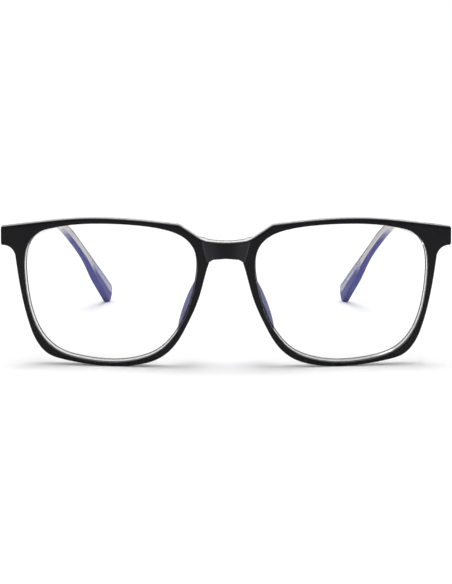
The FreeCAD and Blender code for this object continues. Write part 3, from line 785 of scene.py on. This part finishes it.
def black_facet_painted_reflection():
    """The scooped bridge: a painted reflection makes it brighter towards its creases, with a painted
    highlight line along them.
    """
    m = Nodes("black_facet_painted_reflection")
    layer = m.tree.nodes.new("ShaderNodeAttribute")
    layer.attribute_name = "facet"
    wander = m.span(m.noise(250, 3), 0.3, 0.7, -0.02, 0.02)
    share = m.node("ShaderNodeMath")
    share.operation = "ADD"
    m.tree.links.new(layer.outputs["Fac"], share.inputs[0])
    m.tree.links.new(wander, share.inputs[1])
    # Painted reflection: the facet's black brightens from its middle out to its creases; the last stop
    # is a painted highlight line at each crease.
    m.link(m.ramp(share.outputs[0], [(0.0, (0.0075, 0.0070, 0.0095)), (0.30, (0.0095, 0.0090, 0.0115)),
                                     (0.62, (0.0185, 0.0180, 0.0222)), (0.93, (0.0225, 0.0220, 0.0262)),
                                     (0.97, (0.0420, 0.0415, 0.0460))]), "Base Color")
    m.link(m.span(m.noise(900, 5), 0.3, 0.7, 0.30, 0.38), "Roughness")
    m.set(Specular_IOR_Level=0.15, IOR=1.49)
    m.bump(m.noise(2600, 4), 0.05, 0.00002)
    return m.material


def painted_edge_shade(m, colour, edge_shade_colour, blend, power):
    """Darkens a colour where the surface turns edge-on: painted shade for the dark edges of thick
    plastic.
    """
    weight = m.node("ShaderNodeLayerWeight", Blend=blend)
    curve = m.node("ShaderNodeMath", Value=weight.outputs["Facing"])
    curve.operation = "POWER"
    curve.inputs[1].default_value = power
    mix = m.tree.nodes.new("ShaderNodeMix")
    mix.data_type = "RGBA"
    m.tree.links.new(curve.outputs[0], mix.inputs["Factor"])
    for socket, value in ((mix.inputs[6], colour), (mix.inputs[7], edge_shade_colour)):
        if hasattr(value, "is_output"):
            m.tree.links.new(value, socket)
        else:
            socket.default_value = (*value, 1)
    return mix.outputs[2]


def clear_plastic():
    m = Nodes("clear_plastic")
    body = m.ramp(m.noise(160, 3), [(0.3, (0.770, 0.772, 0.755)), (0.7, (0.815, 0.817, 0.802))])
    # Painted shade: the clear plastic is darkened where it turns edge-on.
    m.link(painted_edge_shade(m, body, (0.22, 0.23, 0.22), 0.5, 3.0), "Base Color")
    m.link(m.span(m.noise(700, 4), 0.3, 0.7, 0.03, 0.08), "Roughness")
    m.set(Transmission_Weight=1.0, IOR=1.47)
    m.bump(m.noise(1200, 3), 0.03, 0.00002)
    return m.material


def lens_material():
    m = Nodes("lens_glass")
    m.link(m.ramp(m.noise(60, 2), [(0.3, (0.984, 0.987, 0.994)), (0.7, (0.990, 0.992, 0.998))]),
           "Base Color")
    m.link(m.span(m.noise(120, 2), 0.3, 0.7, 0.0, 0.012), "Roughness")
    m.set(Transmission_Weight=1.0, IOR=1.12, Specular_Tint=(0.80, 0.82, 1.0, 1.0))
    return m.material


def clear_edge_painted_shade():
    """The inner edge of the clear layer: a darker line of painted shade, except along the bottom of the
    rims.
    """
    m = Nodes("clear_edge_painted_shade")
    split = m.tree.nodes.new("ShaderNodeSeparateXYZ")
    m.tree.links.new(m.place, split.inputs[0])
    wander = m.span(m.noise(160, 3), 0.3, 0.7, -0.06, 0.06)
    height = m.node("ShaderNodeMath")
    height.operation = "ADD"
    m.tree.links.new(m.span(split.outputs["Z"], 0.0022, 0.0070, 0.1, 0.9), height.inputs[0])
    m.tree.links.new(wander, height.inputs[1])
    # Painted shade: pale at the bottom of the rims, near black higher up.
    m.link(m.ramp(height.outputs[0], [(0.0, (0.42, 0.43, 0.38)), (1.0, (0.036, 0.037, 0.033))]),
           "Base Color")
    m.link(m.span(m.noise(700, 4), 0.3, 0.7, 0.25, 0.35), "Roughness")
    m.set(Transmission_Weight=0.2, IOR=1.47)
    return m.material


def violet_plastic(name, stops, transmission, uses_violet_and_shade, rough, specular):
    """Tinted translucent plastic. Its colour follows the values on the mesh, which hold its violet dye
    and painted shade, or is even.
    """
    m = Nodes(name)
    wander = m.span(m.noise(90, 3), 0.3, 0.7, -0.03, 0.03)
    fac = m.node("ShaderNodeMath")
    fac.operation = "ADD"
    fac.use_clamp = True
    if uses_violet_and_shade:
        layer = m.tree.nodes.new("ShaderNodeAttribute")
        layer.attribute_name = "violet_and_shade"
        m.tree.links.new(layer.outputs["Fac"], fac.inputs[0])
    else:
        fac.inputs[0].default_value = 0.5
    m.tree.links.new(wander, fac.inputs[1])
    body = m.ramp(fac.outputs[0], stops)
    # Painted shade: the violet plastic is darkened where it turns edge-on.
    m.link(painted_edge_shade(m, body, (0.30, 0.28, 0.42), 0.5, 6.0), "Base Color")
    satin = m.node("ShaderNodeMath")
    satin.operation = "ADD"
    m.tree.links.new(m.span(m.noise(500, 4), 0.3, 0.7, *rough), satin.inputs[0])
    m.tree.links.new(m.span(fac.outputs[0], 0.6, 1.0, 0.0, 0.4), satin.inputs[1])
    m.link(satin.outputs[0], "Roughness")
    amount = m.ramp(fac.outputs[0], [(s[0], (t, t, t)) for s, t in zip(stops, transmission)])
    m.link(amount, "Transmission Weight")
    m.set(IOR=1.26, Specular_IOR_Level=specular)
    m.bump(m.noise(1500, 3), 0.02, 0.00002)
    return m.material


def metal(name, dark, light, rough_low, rough_high, stretch, metallic=1.0):
    m = Nodes(name)
    brushed = m.noise(1800, 6, stretch)
    m.link(m.ramp(brushed, [(0.3, dark), (0.7, light)]), "Base Color")
    m.link(m.span(brushed, 0.3, 0.7, rough_low, rough_high), "Roughness")
    m.set(Metallic=metallic)
    m.bump(brushed, 0.08, 0.00002)
    return m.material


# Colours and transmission for the temples' values: clear to violet as the dye is, and the darker end
# also makes the painted shade bands.
TEMPLE_STOPS = [(0.0, (0.95, 0.95, 0.96)), (0.10, (0.93, 0.92, 0.94)), (0.35, (0.60, 0.60, 0.74)),
                (0.60, (0.30, 0.30, 0.48)), (1.0, (0.078, 0.080, 0.255))]
TEMPLE_CLEAR = [0.98, 0.96, 0.60, 0.35, 0.06]
PAD_STOPS = [(0.0, (0.105, 0.095, 0.27)), (1.0, (0.140, 0.130, 0.32))]

black = black_plastic()
facet = black_facet_painted_reflection()
clear = clear_plastic()
glass = lens_material()
clear_shade_line = clear_edge_painted_shade()
violet = violet_plastic("violet_plastic", TEMPLE_STOPS, TEMPLE_CLEAR, True, (0.05, 0.10), 0.2)
pad_violet = violet_plastic("pad_plastic", PAD_STOPS, [0.05, 0.05], False, (0.50, 0.60), 0.05)
core_metal = metal("core_metal", (0.80, 0.74, 0.72), (0.90, 0.84, 0.82), 0.34, 0.46, (1, 0.05, 1),
                   metallic=0.35)
hinge_metal = metal("hinge_metal", (0.55, 0.55, 0.57), (0.75, 0.75, 0.77), 0.22, 0.36, (0.1, 1, 1))
screw_metal = metal("screw_metal", (0.62, 0.61, 0.60), (0.80, 0.79, 0.77), 0.18, 0.30, (1, 1, 1))


def paint(obj, material):
    obj.data.materials.clear()
    obj.data.materials.append(material)


paint(front, black)
front.data.materials.append(facet)
# How far across the scooped facet each point lies, 0 in the middle and 1 at a crease; it places the
# facet's painted reflection.
layer = front.data.attributes.new("facet", "FLOAT", "POINT")
shares = []
for vertex in front.data.vertices:
    u, height, _ = from_frame(vertex.co)
    crease_line = float(np.interp(height, creases[0][:, 1], creases[0][:, 0]))
    shares.append(abs(u) / crease_line)
layer.data.foreach_set("value", shares)
CREASE_SHARE = 1.01     # the facet ends at a share of 1
FACING = -0.9           # the y of a normal that faces forwards
FACET_FOOT = 33.5
# The scooped facet's forward faces get the black with the painted reflection.
for polygon in front.data.polygons:
    share = max(shares[i] for i in polygon.vertices)
    z_low = min(front.data.vertices[i].co.z for i in polygon.vertices)
    if share < CREASE_SHARE and polygon.normal.y < FACING and z_low > FACET_FOOT * MM:
        polygon.material_index = 1
paint(rear, clear)
rear.data.materials.append(clear_shade_line)
LIP_MARGIN = 0.05       # takes in the ledge at the rebate's end
LIP_START = 8.5         # no lip is nearer to the middle than this
BACK_MARGIN = 0.02      # leaves out the flat back
LINE_MARGIN = 0.04      # a polygon's middle lies between two points of the loop
lip_loops = [loop - outward(loop) * LIP_REACH for loop in (opening(1.0), opening(-1.0))]
# Polygons along the lip's edge get the material with the painted shade line.
for polygon in rear.data.polygons:
    u, height, depth = from_frame(polygon.center)
    if not REBATE_BACK - LIP_MARGIN <= depth <= CLEAR_DEPTH - BACK_MARGIN or abs(u) < LIP_START:
        continue
    loop = lip_loops[0 if u > 0 else 1]
    if np.min(np.hypot(loop[:, 0] - u, loop[:, 1] - height)) < LIP_LINE + LINE_MARGIN:
        polygon.material_index = 1
for lens in lenses:
    paint(lens, glass)
for pad in pads:
    paint(pad, pad_violet)
for arm in temples:
    paint(arm, violet)
for side_name in ("left", "right"):
    paint(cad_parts["temple_core_" + side_name], core_metal)
    for name in ("front_hinge_", "temple_hinge_"):
        paint(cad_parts[name + side_name], hinge_metal)
    for name in ("hinge_screw_", "front_leaf_screws_", "temple_leaf_screws_"):
        paint(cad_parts[name + side_name], screw_metal)

# ---------------------------------------------------------------- floor, light and camera
FLOOR = 3.0    # metres from the middle to each side
floor_mesh = bpy.data.meshes.new("floor")
floor_mesh.from_pydata([(-FLOOR, -FLOOR, 0), (FLOOR, -FLOOR, 0),
                        (FLOOR, FLOOR, 0), (-FLOOR, FLOOR, 0)], [], [(0, 1, 2, 3)])
floor = bpy.data.objects.new("floor", floor_mesh)
bpy.context.scene.collection.objects.link(floor)
paper = Nodes("floor_paper")
paper.link(paper.ramp(paper.noise(40, 3), [(0.3, (0.93, 0.93, 0.93)), (0.7, (0.95, 0.95, 0.95))]),
           "Base Color")
paper.set(Roughness=0.9, Specular_IOR_Level=0.0)
paint(floor, paper.material)

SKY_ON_SURFACES = 0.72
world = bpy.data.worlds.new("studio")
bpy.context.scene.world = world
world.use_nodes = True
sky = world.node_tree.nodes["Background"]
# Reflections see a studio that is dim in front of the glasses; everything else sees white, which
# is weaker where it lights the surfaces.
tree = world.node_tree
path = tree.nodes.new("ShaderNodeLightPath")
direction = tree.nodes.new("ShaderNodeTexCoord")
split = tree.nodes.new("ShaderNodeSeparateXYZ")
tree.links.new(direction.outputs["Generated"], split.inputs[0])
studio = tree.nodes.new("ShaderNodeValToRGB")
studio.color_ramp.elements[0].position = 0.15
studio.color_ramp.elements[0].color = (0.22, 0.22, 0.24, 1)
studio.color_ramp.elements[1].position = 0.75
studio.color_ramp.elements[1].color = (1, 1, 1, 1)
shift = tree.nodes.new("ShaderNodeMapRange")
shift.inputs["From Min"].default_value = -1.0
tree.links.new(split.outputs["Y"], shift.inputs["Value"])
tree.links.new(shift.outputs["Result"], studio.inputs["Fac"])
blend = tree.nodes.new("ShaderNodeMix")
blend.data_type = "RGBA"
blend.inputs[6].default_value = (1, 1, 1, 1)
tree.links.new(path.outputs["Is Glossy Ray"], blend.inputs["Factor"])
tree.links.new(studio.outputs["Color"], blend.inputs[7])
tree.links.new(blend.outputs[2], sky.inputs["Color"])
strength = tree.nodes.new("ShaderNodeMapRange")
strength.inputs["To Min"].default_value = 1.0
strength.inputs["To Max"].default_value = SKY_ON_SURFACES
tree.links.new(path.outputs["Is Diffuse Ray"], strength.inputs["Value"])
tree.links.new(strength.outputs["Result"], sky.inputs["Strength"])


def softbox(name, place, target, size, power):
    light = bpy.data.lights.new(name, "AREA")
    light.shape = "RECTANGLE"
    light.size, light.size_y = size
    light.energy = power
    obj = bpy.data.objects.new(name, light)
    obj.location = place
    obj.rotation_euler = (Vector(target) - Vector(place)).to_track_quat("-Z", "Y").to_euler()
    obj.visible_camera = False
    bpy.context.scene.collection.objects.link(obj)


SUN_FROM = Vector((0.0, 0.03, 1.0))
sun = bpy.data.lights.new("overhead", "SUN")
sun.energy = 1.35
sun.angle = math.radians(30)
sun_object = bpy.data.objects.new("overhead", sun)
sun_object.rotation_euler = (-SUN_FROM).to_track_quat("-Z", "Y").to_euler()
bpy.context.scene.collection.objects.link(sun_object)
softbox("top_box", (0.0, -0.1, 0.9), (0, 0, 0), (1.0, 0.8), 0.6)

camera_data = bpy.data.cameras.new("camera")
camera = bpy.data.objects.new("camera", camera_data)
bpy.context.scene.collection.objects.link(camera)
bpy.context.scene.camera = camera
CAMERA_DISTANCE = 350.0
CAMERA_HEIGHT = 76.2
CAMERA_PITCH = math.radians(8.48)
CAMERA_LENS = 70.77
camera.location = (0, -(CAMERA_DISTANCE + SETBACK) * MM, CAMERA_HEIGHT * MM)
camera.rotation_euler = (math.pi / 2 - CAMERA_PITCH, 0, 0)
camera_data.sensor_width = 36.0
camera_data.lens = CAMERA_LENS
camera_data.clip_start = 0.01
camera_data.clip_end = 20

bpy.context.scene.view_settings.view_transform = "Standard"
bpy.context.scene.view_settings.look = "None"
